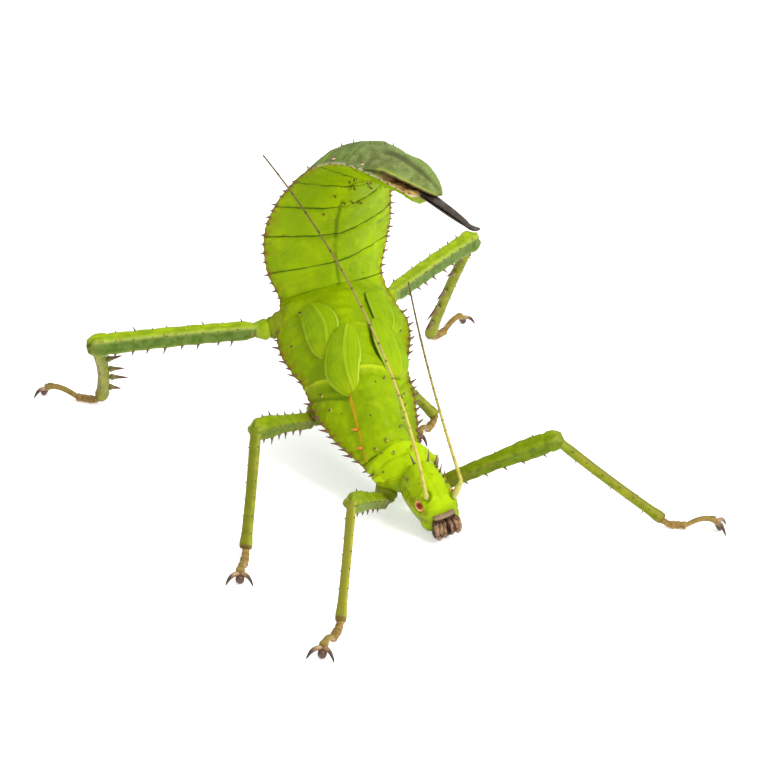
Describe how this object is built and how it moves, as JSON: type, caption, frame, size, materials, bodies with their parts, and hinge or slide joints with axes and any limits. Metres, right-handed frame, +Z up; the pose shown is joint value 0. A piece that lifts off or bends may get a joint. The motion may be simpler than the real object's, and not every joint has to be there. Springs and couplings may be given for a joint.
{
  "type": "stick insect",
  "caption": "Broad, spiny, leaf-green stick insect, nearly grown and female, standing with its head low and the tail end of its body curled up over the back.",
  "frame": {"origin": "on the ground, under the middle of the model's bounding box", "axes": "+Z up, the head towards -Y, the animal's own right side towards -X"},
  "size_m": [0.1283, 0.1497, 0.0603],
  "materials": {
    "body_skin": "waxy, leaf green, finely grained",
    "belly_skin": "waxy, grey-green, mottled",
    "leg_skin": "waxy, green to olive brown",
    "wing_pad": "leaf green with raised veins",
    "horn": "horny, dark brown",
    "eye": "smooth and glossy, orange with a dark centre",
    "mouthparts": "brown, finely wrinkled",
    "antenna": "straw yellow, darker at the joints"
  },
  "bodies": {
    "root": {"metathorax": "body_skin", "mesothorax": "body_skin", "prothorax": "body_skin", "abdomen_2": "body_skin", "abdomen_3": "body_skin", "abdomen_4": "body_skin", "abdomen_5": "body_skin", "abdomen_6": "body_skin", "abdomen_7": "body_skin", "abdomen_8": "body_skin", "abdomen_9": "body_skin", "belly_plate": "belly_skin", "egg_beak": "horn", "head": "body_skin", "eye_right": "eye", "eye_left": "eye", "antenna_right": "antenna", "antenna_left": "antenna", "mouth": "mouthparts", "tegmen_pad_right": "wing_pad", "hind_wing_pad_right": "wing_pad", "tegmen_pad_left": "wing_pad", "hind_wing_pad_left": "wing_pad", "coxa_right_hind": "leg_skin", "femur_right_hind": "leg_skin", "tibia_right_hind": "leg_skin", "tarsus_right_hind": "leg_skin", "claws_right_hind": "horn", "coxa_left_hind": "leg_skin", "femur_left_hind": "leg_skin", "tibia_left_hind": "leg_skin", "tarsus_left_hind": "leg_skin", "claws_left_hind": "horn", "coxa_right_middle": "leg_skin", "femur_right_middle": "leg_skin", "tibia_right_middle": "leg_skin", "tarsus_right_middle": "leg_skin", "claws_right_middle": "horn", "coxa_left_middle": "leg_skin", "femur_left_middle": "leg_skin", "tibia_left_middle": "leg_skin", "tarsus_left_middle": "leg_skin", "claws_left_middle": "horn", "coxa_right_fore": "leg_skin", "femur_right_fore": "leg_skin", "tibia_right_fore": "leg_skin", "tarsus_right_fore": "leg_skin", "claws_right_fore": "horn", "coxa_left_fore": "leg_skin", "femur_left_fore": "leg_skin", "tibia_left_fore": "leg_skin", "tarsus_left_fore": "leg_skin", "claws_left_fore": "horn"}
  },
  "joints": []
}
